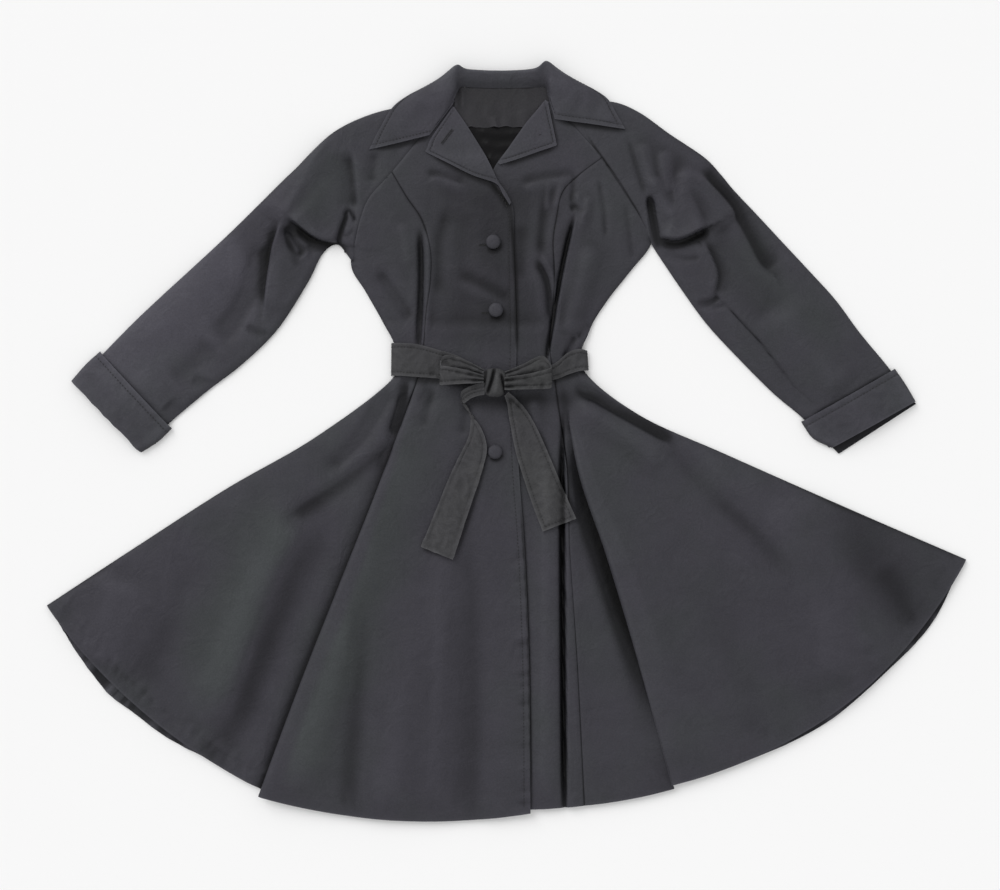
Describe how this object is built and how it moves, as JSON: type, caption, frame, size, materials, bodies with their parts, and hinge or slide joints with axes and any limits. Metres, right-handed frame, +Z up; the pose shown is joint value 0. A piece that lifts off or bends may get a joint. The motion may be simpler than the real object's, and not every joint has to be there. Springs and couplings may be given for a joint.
{
  "type": "princess coat",
  "caption": "Charcoal twill princess coat laid flat, buttoned and belted with a tied bow, with raglan sleeves, turned-back cuffs, a wide pointed collar and a flared skirt.",
  "frame": {"origin": "middle of the coat's bounding box, on the surface that it lies on", "axes": "+X to the wearer's left (the viewer's right), +Y towards the collar, +Z up from the surface"},
  "size_m": [1.382, 1.1387, 0.0364],
  "materials": {
    "coat_twill": "matt satin twill",
    "belt_twill": "matt satin twill",
    "facing_twill": "matt twill",
    "lining_satin": "satin"
  },
  "bodies": {
    "root": {"back": "coat_twill", "side_front_right": "coat_twill", "front_right": "coat_twill", "front_left": "coat_twill", "side_front_left": "coat_twill", "sleeve_right_front": "coat_twill", "sleeve_right_back": "coat_twill", "cuff_right": "coat_twill", "cuff_right_back": "coat_twill", "sleeve_left_front": "coat_twill", "sleeve_left_back": "coat_twill", "cuff_left": "coat_twill", "cuff_left_back": "coat_twill", "back_facing": "facing_twill", "lining": "lining_satin", "lapel_right": "coat_twill", "lapel_left": "coat_twill", "collar": "coat_twill", "belt_right": "belt_twill", "belt_left": "belt_twill", "belt_back": "belt_twill", "tail_right": "belt_twill", "tail_left": "belt_twill", "bow_loop_right": "belt_twill", "bow_loop_left": "belt_twill", "belt_knot": "belt_twill", "button_top": "coat_twill", "button_middle": "coat_twill", "button_low": "coat_twill"}
  },
  "joints": []
}
